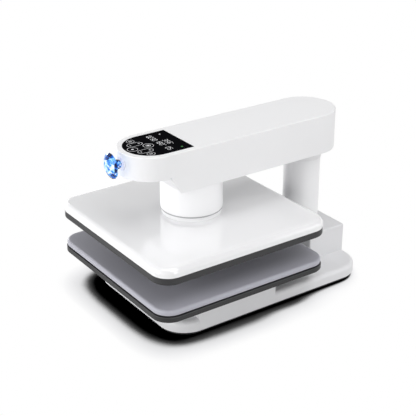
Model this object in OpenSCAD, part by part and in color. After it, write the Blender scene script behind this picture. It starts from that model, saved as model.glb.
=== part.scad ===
// Automatic swing-away heat press.
// The origin is on the bench, under the middle of the press. +Z is up and the knob faces -Y.

/* [Platens] */
// Width and depth of the aluminium heating plate
plate_size = 380; // [300:5:410]
// How far the platens' covers stand out round the heating plate
platen_rim = 10; // [8:0.5:14]
// Radius of the platens' corners
platen_corner = 37; // [32:1:50]
// Height of the dark band round the upper platen
band_h = 14.5; // [12:0.5:18]
// Height of the dark bed plate
bed_h = 11; // [10:0.5:16]
// Thickness of the silicone pad
pad_h = 10.8; // [6:0.2:12]
// Distance that the upper platen moves down
travel = 52.5; // [40:0.5:56]
// Height of the white cover above the upper band
cover_h = 17.5; // [16:0.5:22]
// Radius of the cover's top edge
cover_edge = 10; // [8:1:14]

/* [Base] */
// Width of the base
base_w = 320; // [290:5:360]
// Depth of the base
base_d = 485; // [460:5:520]
// Height of the base's white side above its bottom edge
base_h = 24; // [20:1:32]
// Radius of the base's corners
base_corner = 57; // [45:1:70]
// Height of the pedestal above the base
pedestal_h = 42; // [34:1:54]
// Depth of the pedestal from front to back
pedestal_d = 187; // [160:1:230]
// Height of the feet and the dark pan under the white base
pan_h = 9; // [8:1:14]

/* [Column] */
// Outer diameter of the white column
column_tube_d = 79; // [76:1:82]
// Height of the column from the base's top to the arm
column_h = 229.5; // [220:0.5:245]
// Width of the rear housing
housing_w = 182; // [160:1:200]
// Depth of the rear housing
housing_d = 94.5; // [94:0.5:98]
// Height of the rear housing
housing_h = 62; // [54:1:70]

/* [Arm] */
// Width of the arm
arm_w = 134; // [134:1:150]
// Height of the arm over the column
arm_h = 85; // [84:1:96]
// How far the nose's underside lies above the arm's belly
nose_lift = 36; // [28:1:40]
// Diameter of the head sleeve
sleeve_d = 127.6; // [124:0.2:127.8]
// Distance from the column's axis to the head's axis
reach = 289; // [280:1:310]

/* [Control panel] */
// Width of the glass panel
panel_w = 110; // [90:1:114]
// Length of the glass panel
panel_l = 120; // [96:1:124]

/* [Knob] */
// Diameter of the crystal knob
knob_d = 52; // [40:0.5:54]
// Length of the crystal knob
knob_l = 27; // [22:1:30]

/* [Drive] */
// Number of teeth on the motor's pinion
pinion_teeth = 18; // [18]
// Number of teeth on the screw's gear
gear_teeth = 54; // [50:2:54]
// Diameter of the lift screw
screw_d = 18; // [16:1:20]
// Diameter of the guide rods
rod_d = 12; // [10:1:12]

/* [Hidden] */

$fn = 72;
// Overshoot that lets a cut pass through a face
cut = 1;
// Gap between parts that slide past each other
slip = 0.3;
// Radial clearance of a bore that turns on its shaft
fit = 0.06;

// Dark line between the pedestal and the bed plate
bed_gap = 0.4;

// Heights, from the bench up
base_z = pan_h;
base_top = base_z + base_h;
pedestal_top = base_top + pedestal_h;
tray_z = pedestal_top + bed_gap;
tray_top = tray_z + bed_h;
backing_h = 3;
pad_top = tray_top + backing_h + pad_h;
plate_face = pad_top + travel + 0.3;
band_z = plate_face + 1.1;
cover_z = band_z + band_h;
cover_top = cover_z + cover_h;
arm_z = base_top + column_h;
arm_top = arm_z + arm_h;
nose_z = arm_z + nose_lift;

// Places from front to back
column_y = 211;
head_y = column_y - reach;
arm_r = arm_w / 2;
nose_y = column_y - 383.5;
nose_front = nose_y - arm_r;
base_y = 19.5;
pedestal_y = -74.5;
housing_y = base_y + base_d / 2 - 1.5 - housing_d / 2;
housing_rear = housing_y + housing_d / 2;
housing_top = base_top + housing_h;

// Wall thicknesses
cover_wall = 2;
base_wall = 3;
arm_wall = 2.8;
arm_top_wall = 4;
housing_wall = 3;
housing_edge = 3;

// Upper platen, from the plate up
platen_size = plate_size + 2 * platen_rim;
plate_h = 13;
plate_top = plate_face + plate_h;
element_r = 4;
element_runs = 6;
element_pitch = (plate_size - 80) / (element_runs - 1);
element_end_x = (element_runs - 1) / 2 * element_pitch;
element_half = plate_size / 2 - 50;
press_h = 4;
press_top = cover_top - cover_wall;
press_z = press_top - press_h;
insulation_z = plate_top + element_r + 0.2;
plate_bolt_x = 2 * element_pitch;
plate_bolt_y = plate_size / 2 - 80;
plate_bolt_r = 4;
plate_bolt_head_r = 7;
plate_bolt_ledge = 1;

// Head and drive
frame_z = arm_z + 7.5;
frame_h = 6;
frame_top = frame_z + frame_h;
frame_x = arm_r - 15;
rod_r = rod_d / 2;
bush_r = rod_r + 4;
sleeve_r = sleeve_d / 2;
rod_circle = sleeve_r - bush_r - 8.8;
sleeve_wall = 2;
head_bore_r = rod_circle + bush_r + 0.5;
sleeve_z = cover_top + 10.6;
collar_r = sleeve_r - sleeve_wall - 0.4;
collar_wall = 3;
collar_top = cover_top + 18 + travel;
screw_r = screw_d / 2;
journal_r = screw_r - 1;
screw_z = press_top + 1;
bearing_z = frame_top + 3;
bearing_h = 10;
bearing_r = journal_r + 8;
gear_z = bearing_z + bearing_h + 5;
gear_h = 10;
gear_tip = 0.95;
gear_module = (rod_circle - rod_r - 4.0625) / (gear_teeth / 2 + gear_tip);
gear_distance = gear_module * (gear_teeth + pinion_teeth) / 2;
pinion_y = head_y + gear_distance;
shaft_r = 4;
nut_z = press_top + 50;
nut_h = 28;
nut_r = screw_r + 6.5;
tower_bore = nut_r + 0.5;
tower_r = (tower_bore + rod_circle - bush_r) / 2 + 0.5;
tower_top = nut_z + 4;
rod_top = arm_top - 17.5;
bush_z = frame_z - 8;
bush_h = 30;
motor_r = 17.5;
motor_l = 88;
gearbox_half = floor(rod_circle * cos(45) - bush_r - 1);
gearbox_front = gear_distance - bearing_r - 10;
gearbox_rear = 29;

// Column, pivot and the skirt under the arm
column_r = column_tube_d / 2;
column_wall = 3;
column_bore_r = column_r - column_wall;
post_r = column_bore_r - 10.5;
pivot_r = post_r - 6;
shoulder_z = frame_z - 8.8;
bush_wall = 5;
hub_h = 52;
skirt_h = 24;
skirt_gap = 0.4;
skirt_wall = 1;
stop_pin_r = 2.5;
stop_pin_circle = column_bore_r - 4.1;
stop_half_angle = 83;
post_top = frame_top + hub_h + 10;
race_r = post_r + 3;
flange_r = post_r + 20;

// Base plate, pan and bed screws
pan_floor = 4;
foot_x = base_w / 2 - 40;
foot_y = base_d / 2 - 40;
bed_screw_x = base_w / 2 - 60;
bed_screw_y = pedestal_d / 2 - 48.5;
leg_x = base_w / 2 - 32;
leg_y = pedestal_d / 2 - 25.5;
leg_r = 8;
flange_bolt_circle = post_r + 11;
flange_bolt_r = 4;
deck_z = base_z + 3;
deck_h = 3;
deck_top = deck_z + deck_h;

// Control panel and knob
panel_rear = nose_y - panel_w / 2 + panel_l;
glass_h = 1.8;
pocket_h = 2.2;
board_z = arm_top - 13;
board_h = 1.6;
knob_z = (nose_z + arm_top) / 2 + 2;
rosette_h = 2;
rosette_r = 14;
knob_y = nose_front - rosette_h;

// Rear connections
inlet_x = -56;
switch_x = 48;
fuse_x = 70;
socket_z = base_top + 32;
rocker_y = housing_rear - 4;
rocker_r = 12.3;
rocker_tilt = 9;

// A rectangle with round corners
module rounded_rect(w, d, r) {
    square([w - 2 * r, d], center = true);
    square([w, d - 2 * r], center = true);
    for (x = [-1, 1], y = [-1, 1])
        translate([x * (w / 2 - r), y * (d / 2 - r)]) circle(r);
}

// The section of a slab's edge, with a round top and bottom
module edge_section(r, h, top_r, bottom_r) {
    difference() {
        square([r, h]);
        if (top_r > 0)
            translate([r - top_r, h - top_r]) outside_quarter(top_r);
        if (bottom_r > 0)
            translate([r - bottom_r, bottom_r]) mirror([0, 1]) outside_quarter(bottom_r);
    }
}

// What a round corner of radius r takes off a square one
module outside_quarter(r) {
    difference() {
        square(r + cut);
        circle(r);
    }
}

// A slab with round corners and soft top and bottom edges
module soft_slab(w, d, r, h, top_r = 0, bottom_r = 0) {
    for (quarter = [0:3]) {
        x = (quarter == 0 || quarter == 3 ? 1 : -1) * (w / 2 - r);
        y = (quarter < 2 ? 1 : -1) * (d / 2 - r);
        span = quarter % 2 == 0 ? d : w;
        far = quarter % 2 == 0 ? w : d;
        translate([x, y, 0])
            rotate([0, 0, 90 * quarter])
                rotate_extrude(angle = 90) edge_section(r, h, top_r, bottom_r);
        rotate([0, 0, 90 * quarter])
            translate([far / 2 - r, 0, 0])
                rotate([90, 0, 0])
                    linear_extrude(span - 2 * r, center = true)
                        edge_section(r, h, top_r, bottom_r);
    }
    translate([-w / 2 + r, -d / 2 + r, 0]) cube([w - 2 * r, d - 2 * r, h]);
}

// A long body with two round ends and a soft top edge
module soft_stadium(r, front_y, rear_y, z, h, top_r = 0, bottom_r = 0) {
    for (y = [front_y, rear_y])
        translate([0, y, z]) rotate_extrude() edge_section(r, h, top_r, bottom_r);
    translate([0, (front_y + rear_y) / 2, z])
        rotate([90, 0, 0])
            linear_extrude(rear_y - front_y, center = true) {
                edge_section(r, h, top_r, bottom_r);
                mirror([1, 0]) edge_section(r, h, top_r, bottom_r);
            }
}

// A side outline of points (y, z), drawn across the full width w
module side_cut(w, points) {
    rotate([90, 0, 90]) linear_extrude(w, center = true) polygon(points);
}

// A round tube that stands on z
module tube(outer_r, inner_r, z, h) {
    translate([0, 0, z])
        difference() {
            cylinder(h, r = outer_r);
            translate([0, 0, -cut]) cylinder(h + 2 * cut, r = inner_r);
        }
}

// Children at the four corners of a rectangle
module at_corners(x, y) {
    for (sx = [-1, 1], sy = [-1, 1])
        translate([sx * x, sy * y, 0]) children();
}

// Children round a circle
module around(count, r, start = 0) {
    for (i = [0:count - 1])
        rotate([0, 0, start + 360 * i / count]) translate([r, 0, 0]) children();
}

// Base cover, with the pedestal moulded on it
module base_cover() {
    inner_w = base_w - 2 * base_wall;
    inner_d = base_d - 2 * base_wall;
    color("whitesmoke")
        difference() {
            union() {
                translate([0, base_y, base_z])
                    soft_slab(base_w, base_d, base_corner, base_h, 9, 1);
                translate([0, pedestal_y, base_z + 1])
                    linear_extrude(pedestal_top - base_z - 1) rounded_rect(base_w, pedestal_d, 2);
                translate([0, housing_y, base_z + 1])
                    linear_extrude(base_h - 1) rounded_rect(housing_w, housing_d, housing_edge);
            }
            translate([0, base_y, base_z - cut])
                linear_extrude(base_h - base_wall + cut)
                    rounded_rect(inner_w, inner_d, base_corner - base_wall);
            translate([0, pedestal_y, base_z - cut])
                linear_extrude(pedestal_top - base_z - base_wall + cut)
                    rounded_rect(inner_w, pedestal_d - 2 * base_wall, 1);
            translate([0, column_y, base_top - base_wall - cut])
                cylinder(base_wall + 2 * cut, r = post_r + 2);
            translate([0, pedestal_y, pedestal_top - base_wall - cut])
                at_corners(bed_screw_x, bed_screw_y) cylinder(base_wall + 2 * cut, r = 3.4);
        }
}

// Steel deck that carries the column and the pedestal's frame
module base_plate() {
    color("silver")
        difference() {
            translate([0, base_y, deck_z])
                linear_extrude(deck_h)
                    rounded_rect(base_w - 20, base_d - 20, base_corner - 10);
            translate([0, column_y, deck_z - cut])
                around(4, flange_bolt_circle, 45)
                    cylinder(deck_h + 2 * cut, r = flange_bolt_r + 0.1);
            translate([0, 95, deck_z - cut])
                linear_extrude(deck_h + 2 * cut) rounded_rect(120, 50, 8);
        }
}

// Dark pan that closes the base from below
module bottom_pan() {
    pan_w = base_w - 2 * base_wall - 2;
    pan_d = base_d - 2 * base_wall - 2;
    pan_corner = base_corner - base_wall - 1;
    slot_count = 9;
    color("#1c1c1e")
        difference() {
            translate([0, base_y, pan_floor])
                linear_extrude(deck_z - pan_floor) rounded_rect(pan_w, pan_d, pan_corner);
            translate([0, base_y, pan_floor + 2])
                difference() {
                    linear_extrude(deck_z) rounded_rect(pan_w - 6, pan_d - 6, pan_corner - 3);
                    translate([0, 0, -cut])
                        at_corners(foot_x, foot_y) cylinder(deck_z, r = 9);
                    for (y = [-120, 0, 120])
                        translate([0, y, -cut]) cylinder(deck_z, r = 9);
                }
            for (side = [-1, 1], i = [0:slot_count - 1])
                translate([side * 70, base_y - 80 + 10 * i, pan_floor - cut])
                    linear_extrude(2 + 2 * cut) rounded_rect(50, 4, 1.9);
        }
}

// Rubber feet under the pan
module foot_pads() {
    color("#18181a")
        translate([0, base_y, 0])
            at_corners(foot_x, foot_y)
                rotate_extrude() edge_section(15, pan_floor, 0, 1);
}

// Steel stand inside the pedestal
module pedestal_frame() {
    top_z = pedestal_top - base_wall;
    color("silver")
        translate([0, pedestal_y, 0])
            difference() {
                union() {
                    translate([0, 0, top_z - 3])
                        linear_extrude(3) rounded_rect(2 * leg_x + 24, 2 * leg_y + 24, 6);
                    translate([0, 0, deck_top])
                        at_corners(leg_x, leg_y) tube(leg_r, leg_r - 4, 0, top_z - 3 - deck_top);
                }
                translate([0, 0, top_z - 3 - cut])
                    at_corners(bed_screw_x, bed_screw_y) cylinder(5, r = 3.4);
            }
}

// Dark bed plate that carries the pad
module lower_tray() {
    color("#4a4a4c")
        translate([0, head_y, tray_z])
            difference() {
                union() {
                    soft_slab(platen_size, platen_size, platen_corner, bed_h, 0.8, 1.5);
                    translate([0, pedestal_y - head_y, -bed_gap])
                        at_corners(bed_screw_x, bed_screw_y) cylinder(1, r = 9);
                }
                translate([0, pedestal_y - head_y, -cut])
                    at_corners(bed_screw_x, bed_screw_y) cylinder(8 + cut, r = 3);
            }
}

// Black sheet glued under the pad, set back to leave a dark line round it
module pad_backing() {
    color("#101012")
        translate([0, head_y, tray_top])
            linear_extrude(backing_h)
                rounded_rect(platen_size - 10, platen_size - 10, platen_corner - 5);
}

// Silicone pad with a soft edge
module silicone_pad() {
    color("#77777f")
        translate([0, head_y, tray_top + backing_h])
            soft_slab(platen_size - 3, platen_size - 3, platen_corner - 1.5, pad_h, pad_h * 0.5, 0.8);
}

// Screws that hold the tray down on the pedestal's frame
module tray_screws() {
    head_z = pedestal_top - base_wall - 3;
    color("gray")
        translate([0, pedestal_y, 0])
            at_corners(bed_screw_x, bed_screw_y) {
                translate([0, 0, head_z - 4]) cylinder(4, r = 5.5);
                translate([0, 0, head_z]) cylinder(tray_z + 7 - head_z, r = 3);
            }
}

// White housing at the column's foot
module rear_housing() {
    inner_w = housing_w - 2 * housing_wall;
    inner_d = housing_d - 2 * housing_wall;
    color("whitesmoke")
        difference() {
            translate([0, housing_y, base_top])
                soft_slab(housing_w, housing_d, housing_edge, housing_h, housing_edge, 0);
            translate([0, housing_y, base_top - cut])
                linear_extrude(housing_h - housing_wall + cut)
                    rounded_rect(inner_w, inner_d, 2);
            translate([0, column_y, housing_top - housing_wall - cut])
                cylinder(housing_wall + 2 * cut, r = column_r + 0.2);
            translate([0, housing_rear - 2, socket_z])
                rotate([90, 0, 0])
                    linear_extrude(housing_wall + 4, center = true) rounded_rect(162, 44, 4);
        }
}

// Steel back plate that carries the mains connections
module rear_panel() {
    slot_count = 6;
    color("#2a2a2c")
        difference() {
            translate([0, housing_rear - housing_wall, socket_z])
                rotate([90, 0, 0]) linear_extrude(2) rounded_rect(166, 50, 4);
            translate([inlet_x, housing_rear, socket_z])
                cube([28, 20, 21], center = true);
            translate([switch_x, housing_rear, socket_z])
                cube([19.6, 20, 27.6], center = true);
            translate([fuse_x, housing_rear, socket_z])
                rotate([90, 0, 0]) cylinder(20, r = 6.1, center = true);
            for (i = [0:slot_count - 1])
                translate([(i - (slot_count - 1) / 2) * 7, housing_rear, socket_z])
                    rotate([90, 0, 0])
                        linear_extrude(20, center = true) rounded_rect(3, 30, 1.45);
        }
}

// Appliance inlet socket
module power_inlet() {
    color("#151517")
        translate([inlet_x, housing_rear - housing_wall, socket_z])
            difference() {
                union() {
                    rotate([-90, 0, 0]) linear_extrude(2.6) rounded_rect(44, 30, 4);
                    translate([-13.7, -26, -10.2]) cube([27.4, 27, 20.4]);
                }
                translate([-12, -19, -8.2]) cube([24, 24, 16.4]);
                for (x = [-7, 0, 7])
                    translate([x, -20, x == 0 ? 3 : -1])
                        cube([2.2, 20, 4.2], center = true);
            }
}

// Three flat pins of the inlet
module inlet_pins() {
    color("gold")
        translate([inlet_x, housing_rear - housing_wall, socket_z])
            for (x = [-7, 0, 7])
                translate([x, -17, x == 0 ? 3 : -1]) cube([2, 26, 4], center = true);
}

// Frame of the power switch
module switch_bezel() {
    color("#151517")
        translate([switch_x, 0, socket_z])
            difference() {
                union() {
                    translate([0, housing_rear - housing_wall, 0])
                        rotate([-90, 0, 0]) linear_extrude(2) rounded_rect(23, 32, 2);
                    translate([-9.6, housing_rear - housing_wall - 22, -13.6])
                        cube([19.2, 22.5, 27.2]);
                }
                translate([0, rocker_y, 0]) {
                    rotate([0, 90, 0]) cylinder(14.6, r = rocker_r + 0.35, center = true);
                    rotate([0, 90, 0]) cylinder(18, r = 1.5 + fit, center = true);
                }
            }
}

// Rocker that tilts in the switch frame
module power_rocker() {
    color("#c8281e")
        translate([switch_x, rocker_y, socket_z])
            rotate([-rocker_tilt, 0, 0])
                difference() {
                    union() {
                        rotate([0, 90, 0]) cylinder(14, r = rocker_r, center = true);
                        rotate([0, 90, 0]) cylinder(17.4, r = 1.5, center = true);
                    }
                    translate([0, 30, 0])
                        rotate([0, 90, 0]) cylinder(16, r = 24, center = true);
                    translate([-8, -14, -13]) cube([16, 6, 26]);
                }
}

// Screw-in fuse holder
module fuse_holder() {
    color("#1a1a1c")
        translate([fuse_x, housing_rear - housing_wall, socket_z])
            difference() {
                union() {
                    rotate([-90, 0, 0]) cylinder(2, r = 8);
                    rotate([-90, 0, 0]) cylinder(5, r = 5.6);
                    rotate([90, 0, 0]) cylinder(30, r = 6);
                }
                translate([-4, 4, -0.6]) cube([8, 3, 1.2]);
            }
}

// Mains and control board in the pedestal
module power_board() {
    color("#1d6b3a")
        translate([62 - leg_x, pedestal_y - 28, deck_top]) {
            translate([0, 0, 8]) linear_extrude(1.6) rounded_rect(96, 84, 2);
            at_corners(43, 37) cylinder(8.5, r = 3);
            translate([-38, -26, 9]) cube([34, 30, 24]);
            for (x = [12, 32]) translate([x, -20, 9]) cylinder(26, r = 9);
            translate([2, 8, 9]) cube([38, 20, 14]);
        }
}

// Low-voltage supply for the lift motor
module power_supply() {
    slot_count = 8;
    color("gainsboro")
        translate([64 - leg_x, pedestal_y + 50, deck_top])
            difference() {
                translate([-50, -26, 0]) cube([100, 52, 34]);
                for (i = [0:slot_count - 1])
                    translate([(i - (slot_count - 1) / 2) * 10, 0, 30])
                        linear_extrude(5) rounded_rect(4, 36, 1.9);
            }
}

// Relay block on its finned heat sink
module heater_relay() {
    fin_count = 9;
    color("dimgray")
        translate([leg_x - 44, pedestal_y, deck_top]) {
            translate([-36, -44, 0]) cube([72, 88, 5]);
            for (i = [0:fin_count - 1])
                translate([-36 + 8.75 * i, -44, 4]) cube([2, 88, 20]);
            translate([-36, -44, 23]) cube([72, 88, 3]);
            translate([-22, -29, 25]) cube([44, 58, 22]);
        }
}

// White outer tube of the column
module column_tube() {
    color("whitesmoke")
        translate([0, column_y, 0])
            tube(column_r, column_r - column_wall, base_top, frame_z - 2 - base_top);
}

// Steel post with the bolted flange and the pivot journal
module column_post() {
    wall = 6;
    color("slategray")
        translate([0, column_y, 0])
            difference() {
                union() {
                    translate([0, 0, deck_top]) cylinder(8, r = flange_r);
                    translate([0, 0, deck_top]) cylinder(shoulder_z - deck_top, r = post_r);
                    translate([0, 0, deck_top]) cylinder(post_top - deck_top, r = pivot_r);
                }
                translate([0, 0, deck_top - cut])
                    cylinder(post_top - deck_top + 2 * cut, r = pivot_r - wall);
                translate([0, 0, deck_top - cut])
                    around(4, flange_bolt_circle, 45) cylinder(10, r = flange_bolt_r + 0.1);
            }
}

// Bolts through the post's flange
module post_bolts() {
    color("gray")
        translate([0, column_y, 0])
            around(4, flange_bolt_circle, 45) {
                translate([0, 0, deck_z]) cylinder(deck_h + 8, r = flange_bolt_r);
                translate([0, 0, deck_top + 8]) cylinder(5, r = 6.5);
            }
}

// Thrust bearing that carries the arm: two races, a cage and its balls
module thrust_bearing() {
    ball_r = 2.2;
    ball_z = shoulder_z + 4.25;
    ball_circle = (race_r + pivot_r) / 2 + 0.1;
    color("silver")
        translate([0, column_y, 0]) {
            tube(race_r, pivot_r + 0.1, shoulder_z, 2);
            tube(race_r, pivot_r + 0.4, ball_z + ball_r + 0.05, 2);
            translate([0, 0, ball_z]) around(14, ball_circle) sphere(ball_r);
        }
}

// Half collar on the post that the stop pin meets at each end of the swing
module stop_collar() {
    collar_z = shoulder_z - 10;
    color("slategray")
        translate([0, column_y, collar_z])
            difference() {
                union() {
                    cylinder(8, r = stop_pin_circle - stop_pin_r - 0.5);
                    rotate([0, 0, 90 - stop_half_angle])
                        rotate_extrude(angle = 2 * stop_half_angle)
                            square([column_bore_r - 1.1, 8]);
                }
                translate([0, 0, -cut]) cylinder(8 + 2 * cut, r = post_r);
            }
}

// Nut that keeps the arm on the post
module pivot_nut() {
    color("gray")
        translate([0, column_y, frame_top + hub_h + slip])
            difference() {
                cylinder(8, r = pivot_r + 7, $fn = 6);
                translate([0, 0, -cut]) cylinder(8 + 2 * cut, r = pivot_r);
            }
}

// White shell of the arm, open below, with the panel's pocket and the raised nose
module arm_shell() {
    wedge_y = nose_y + 3.5;
    wedge_foot = wedge_y + nose_lift * 0.62;
    color("white")
        difference() {
            soft_stadium(arm_r, nose_y, column_y, arm_z, arm_h, 1.6, 0.8);
            difference() {
                soft_stadium(arm_r - arm_wall, nose_y, column_y, arm_z - cut,
                    arm_h - arm_top_wall + cut);
                translate([0, 0, frame_top])
                    for (y = [head_y, 20, 130], x = [-44, 44])
                        translate([x, y, 0]) cylinder(arm_h, r = 4.5);
                translate([0, 0, board_z + board_h])
                    for (y = [nose_y + 6, panel_rear - 20], x = [-1, 1])
                        translate([x * (panel_w / 2 - 1), y, 0]) cylinder(arm_h, r = 3.5);
            }
            side_cut(arm_w + 10, [[nose_front - 10, arm_z - 10], [nose_front - 10, nose_z],
                [wedge_y, nose_z], [wedge_foot, arm_z], [wedge_foot, arm_z - 10]]);
            translate([0, wedge_y - 1.5, nose_z])
                rotate([0, 90, 0]) cylinder(arm_w + 10, r = 3, center = true);
            translate([0, 0, arm_top - pocket_h]) linear_extrude(5) panel_outline(0.2);
            translate([0, 0, arm_top - 6]) linear_extrude(8) panel_outline(-5);
            translate([0, nose_front - 5, knob_z])
                rotate([-90, 0, 0]) cylinder(20, r = 3.2);
        }
}

// Outline of the glass panel, grown by a margin
module panel_outline(margin) {
    half = panel_w / 2 + margin;
    translate([0, nose_y]) circle(half);
    translate([-half, nose_y]) square([2 * half, panel_rear - nose_y + margin]);
}

// White belly of the arm: nose underside, wedge and bottom in one bent plate
module arm_belly() {
    wall = 2.5;
    recess = 1;
    wedge_y = nose_y + 3.5 + 1;
    wedge_foot = wedge_y + nose_lift * 0.62;
    low = arm_z + recess;
    high = nose_z + recess + 2.5;
    color("white")
        difference() {
            union() {
                translate([0, column_y, arm_z - skirt_h])
                    cylinder(skirt_h + recess + 1, r = column_r + skirt_gap + skirt_wall);
                intersection() {
                    soft_stadium(arm_r - arm_wall - 0.2, nose_y, column_y, arm_z, arm_h);
                    union() {
                        side_cut(arm_w, [[nose_front, high], [wedge_y, high], [wedge_foot, low],
                            [column_y + arm_r, low], [column_y + arm_r, low + wall],
                            [wedge_foot + 1.5, low + wall], [wedge_y + 1.5, high + wall],
                            [nose_front, high + wall]]);
                        belly_bosses(5, low, frame_z);
                        translate([0, head_y, low]) cylinder(frame_z - low, r = sleeve_r - 1.8);
                    }
                }
            }
            translate([0, head_y, arm_z - cut]) cylinder(20, r = head_bore_r);
            translate([0, column_y, arm_z - skirt_h - cut])
                cylinder(skirt_h + 20, r = column_r + skirt_gap);
            belly_bosses(2.6, arm_z - cut, frame_z + cut);
            belly_bosses(4.6, arm_z - cut, low + 1.2);
        }
}

// Pillars or bores at the belly's six screws, from one height to another
module belly_bosses(r, z, top) {
    for (y = [5, 75, 145], x = [-38, 38])
        translate([x, y, z]) cylinder(top - z, r = r);
}

// Screws that hold the belly to the arm's frame
module belly_screws() {
    low = arm_z + 1;
    color("gray") {
        belly_bosses(2.4, low + 1.2, frame_z + 5);
        belly_bosses(4.4, low + 0.2, low + 1.2);
    }
}

// Steel beam inside the arm, from the pivot to the head
module arm_frame() {
    front = head_y - 50;
    rear = column_y + 36;
    color("steelblue")
        difference() {
            union() {
                translate([-frame_x, front, frame_z]) cube([2 * frame_x, rear - front, frame_h]);
                translate([0, head_y, frame_z]) cylinder(frame_h, r = sleeve_r - 1.5);
                for (x = [-1, 1])
                    translate([x * (frame_x - 1.5) - 1.5, front + 20, frame_z])
                        cube([3, rear - front - 30, 34]);
                translate([0, head_y, frame_top])
                    cylinder(bearing_z + bearing_h - frame_top, r = bearing_r + 5);
            }
            translate([0, head_y, frame_z - cut]) cylinder(60, r = screw_r + 1);
            translate([0, head_y, bearing_z]) cylinder(60, r = bearing_r);
            translate([0, head_y, frame_z - cut])
                around(4, rod_circle, 45) cylinder(frame_h + 2 * cut, r = bush_r);
            translate([0, column_y, frame_z - cut]) cylinder(60, r = pivot_r + 0.5);
            translate([0, column_y - stop_pin_circle, frame_z - cut])
                cylinder(frame_h + 2 * cut, r = stop_pin_r);
            belly_bosses(2.4, frame_z - cut, frame_z + 5);
        }
}

// Hub that turns on the post
module pivot_hub() {
    color("lightslategray")
        translate([0, column_y, 0])
            difference() {
                union() {
                    translate([0, 0, frame_top]) cylinder(hub_h, r = pivot_r + bush_wall + 5);
                    translate([0, 0, frame_top]) cylinder(6, r = pivot_r + bush_wall + 18);
                }
                translate([0, 0, frame_top - cut])
                    cylinder(hub_h + 2 * cut, r = pivot_r + bush_wall);
                translate([0, -stop_pin_circle, frame_top - cut])
                    cylinder(6 + 2 * cut, r = stop_pin_r + 1.2);
            }
}

// Two bronze bushes pressed into the hub
module pivot_bushes() {
    color("darkgoldenrod")
        translate([0, column_y, 0])
            for (z = [frame_top, frame_top + hub_h - 20])
                tube(pivot_r + bush_wall, pivot_r + fit, z, 20);
}

// Pin under the frame that limits the swing
module stop_pin() {
    color("gray")
        translate([0, column_y - stop_pin_circle, shoulder_z - 9])
            cylinder(frame_top - shoulder_z + 9, r = stop_pin_r);
}

// Black glass of the control panel
module panel_glass() {
    color("#0b0b0d")
        translate([0, 0, arm_top - pocket_h])
            linear_extrude(glass_h) panel_outline(0);
}

// Circuit board below the glass
module display_board() {
    color("#1d6b3a") {
        translate([0, 0, board_z]) linear_extrude(board_h) panel_outline(1);
        translate([-30, nose_y - 10, board_z - 6]) cube([60, 30, 6.5]);
    }
}

// Four digit blocks between the board and the glass
module digit_displays() {
    block_h = arm_top - pocket_h - slip - board_z - board_h;
    color("#f2f2f4")
        translate([0, 0, board_z + board_h]) {
            translate([-29, panel_rear - 44, block_h / 2]) cube([30, 15, block_h], center = true);
            translate([2.5, panel_rear - 44, block_h / 2]) cube([28, 15, block_h], center = true);
            translate([4, panel_rear - 27.5, block_h / 2]) cube([28, 15, block_h], center = true);
            translate([33, panel_rear - 44, block_h / 2]) cube([22, 15, block_h], center = true);
        }
}

// Green status light at the panel's rear corner
module status_led() {
    color("limegreen")
        translate([40, panel_rear - 19, board_z + board_h]) {
            cylinder(6, r = 2.5);
            translate([0, 0, 6]) sphere(2.5);
        }
}

// Pale round plate behind the knob
module knob_rosette() {
    color("lavender")
        difference() {
            translate([0, knob_y, knob_z])
                rotate([-90, 0, 0]) {
                    translate([0, 0, 1.2]) cylinder(rosette_h + 4, r = rosette_r);
                    cylinder(1.5, r = rosette_r - 2);
                }
            translate([0, nose_y, knob_z - 40]) cylinder(80, r = arm_r + 0.1);
            translate([0, knob_y - cut, knob_z]) rotate([-90, 0, 0]) cylinder(20, r = 3.2);
        }
}

// Threaded stud and inner nut that hold the knob
module knob_stud() {
    inner_y = nose_front + arm_wall;
    color("silver")
        translate([0, 0, knob_z]) {
            translate([0, knob_y - 9, 0]) rotate([-90, 0, 0]) cylinder(inner_y + 12 - knob_y, r = 3);
            translate([0, inner_y + 0.4, 0]) rotate([-90, 0, 0]) cylinder(4, r = 6, $fn = 6);
        }
}

// Cut crystal knob: table, crown, girdle, pavilion, neck and foot
module crystal_knob() {
    sides = 10;
    // Each ring is (distance in front of the rosette, radius) as shares of length and radius
    rings = [[0, 0.28], [0.1, 0.36], [0.26, 0.37], [0.38, 0.26], [0.66, 1], [0.76, 1], [1, 0.58]];
    color("royalblue")
        difference() {
            translate([0, knob_y, knob_z])
                rotate([90, 0, 0])
                    for (i = [0:len(rings) - 2])
                        translate([0, 0, rings[i][0] * knob_l])
                            cylinder((rings[i + 1][0] - rings[i][0]) * knob_l,
                                r1 = rings[i][1] * knob_d / 2, r2 = rings[i + 1][1] * knob_d / 2,
                                $fn = sides);
            translate([0, knob_y + cut, knob_z])
                rotate([90, 0, 0]) cylinder(10 + cut, r = 3.1);
        }
}

// White sleeve that hangs from the arm round the lift mechanism
module head_sleeve() {
    sleeve_h = arm_z + 1 - sleeve_z;
    color("white")
        translate([0, head_y, sleeve_z])
            difference() {
                rotate_extrude() edge_section(sleeve_r, sleeve_h, 0, 1.9);
                translate([0, 0, -cut])
                    cylinder(sleeve_h - 3 + cut, r = sleeve_r - sleeve_wall);
                cylinder(sleeve_h + cut, r = head_bore_r);
            }
}

// Dark wiper ring in the sleeve's mouth
module wiper_ring() {
    color("#2c2c2e")
        translate([0, head_y, 0])
            tube(sleeve_r - 0.9, collar_r + slip, sleeve_z - 2.4, 2.4);
}

// Lift motor, lying along the arm
module drive_motor() {
    color("darkgray")
        translate([0, pinion_y + gearbox_rear, frame_top + motor_r + 0.5])
            rotate([-90, 0, 0]) {
                cylinder(motor_l, r = motor_r);
                cylinder(motor_l + 4, r = 6);
            }
}

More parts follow.
